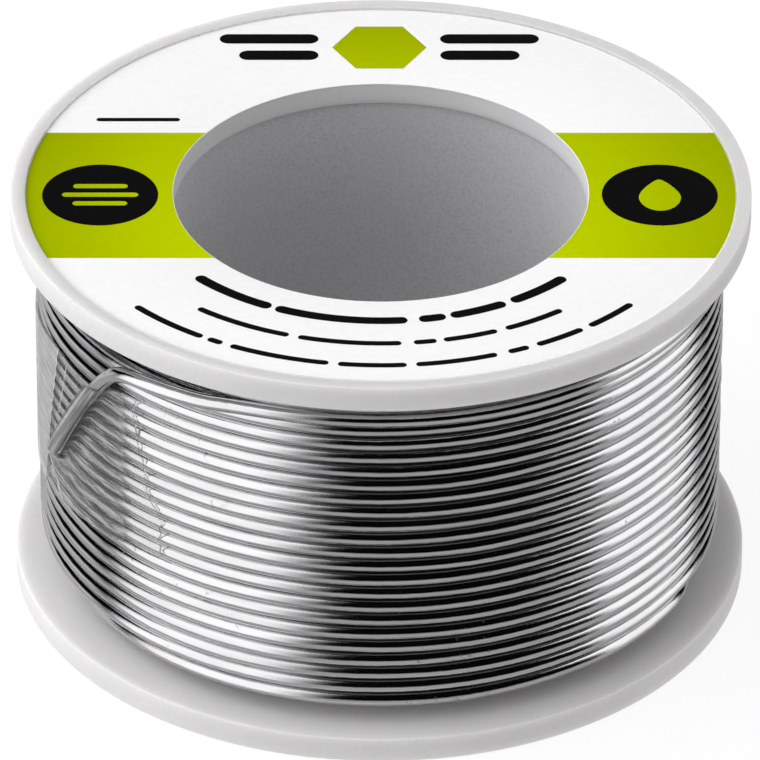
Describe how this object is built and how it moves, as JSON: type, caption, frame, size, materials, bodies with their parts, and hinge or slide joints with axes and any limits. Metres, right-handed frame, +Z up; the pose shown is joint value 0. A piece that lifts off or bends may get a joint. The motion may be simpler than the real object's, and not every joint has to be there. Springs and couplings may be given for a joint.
{
  "type": "solder wire spool",
  "caption": "Small plastic spool with a ring label, wound full of bright solder wire whose free end is bent down and held by clear tape.",
  "frame": {"origin": "centre of the lower flange's outer face, on the spool's axis, at the surface that the spool stands on", "axes": "+Z up along the spool's axis towards the labelled flange; -Y is the front, and the taped free end of the wire is on the -X side, turned a little towards -Y"},
  "size_m": [0.0476, 0.0476, 0.0284],
  "materials": {
    "spool_plastic": "satin off-white moulded polystyrene, slightly translucent",
    "label_paper": "satin white printed label with a yellow-green band and plain dark marks, no lettering",
    "solder": "bright drawn tin-based solder wire with faint drawing lines and handling marks",
    "clear_tape": "clear adhesive tape, glossy outside, cloudy where it is lifted"
  },
  "bodies": {
    "root": {"bottom_flange": "spool_plastic", "hub_tube": "spool_plastic", "top_flange": "spool_plastic", "top_label": "label_paper", "solder_winding": "solder", "solder_tail": "solder", "clear_tape": "clear_tape"}
  },
  "joints": []
}
